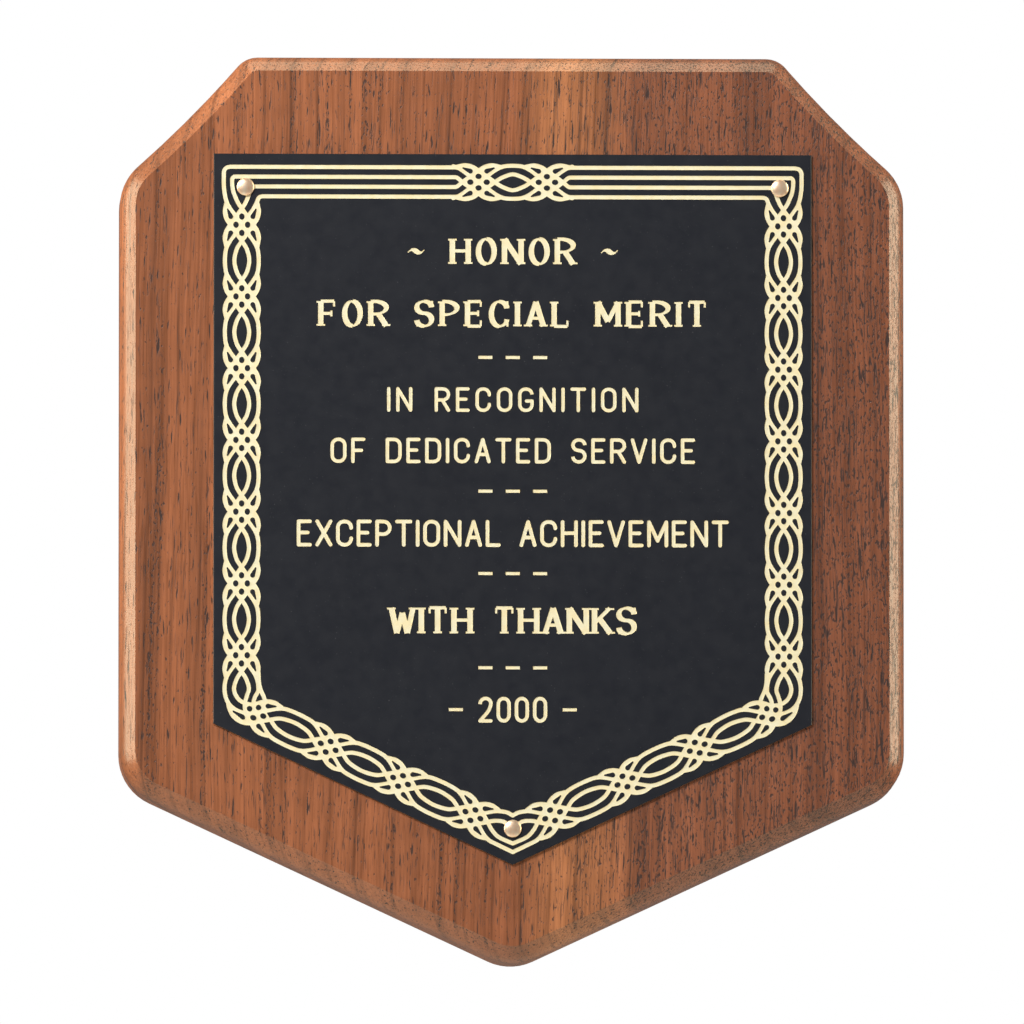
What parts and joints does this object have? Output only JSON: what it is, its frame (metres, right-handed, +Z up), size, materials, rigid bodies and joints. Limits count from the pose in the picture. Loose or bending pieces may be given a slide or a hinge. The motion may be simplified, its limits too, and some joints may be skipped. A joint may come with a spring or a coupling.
{
  "type": "wall plaque",
  "caption": "Shield-shaped solid wood wall plaque with an engraved black brass plate, plate pins and a flush keyhole hanger in the back.",
  "frame": {"origin": "centre of the keyhole hanger's entry hole, on the back of the board, which is the wall plane", "axes": "+Z up, the engraved plate faces -Y, +Y points into the wall, +X to the viewer's right"},
  "size_m": [0.1778, 0.0207, 0.2058],
  "materials": {
    "walnut": "satin lacquer, vertical grain",
    "black_plate": "satin black lacquer on brass, cut through to bright brass by the engraving",
    "pin_brass": "polished",
    "tape": "matte film",
    "zinc_steel": "bright zinc plate"
  },
  "bodies": {
    "root": {"board": "walnut", "plate_adhesive": "tape", "engraved_plate": "black_plate", "plate_pin_top_left": "pin_brass", "plate_pin_top_right": "pin_brass", "plate_pin_bottom": "pin_brass", "keyhole_hanger": "zinc_steel", "hanger_screw_upper": "zinc_steel", "hanger_screw_lower": "zinc_steel"}
  },
  "joints": []
}
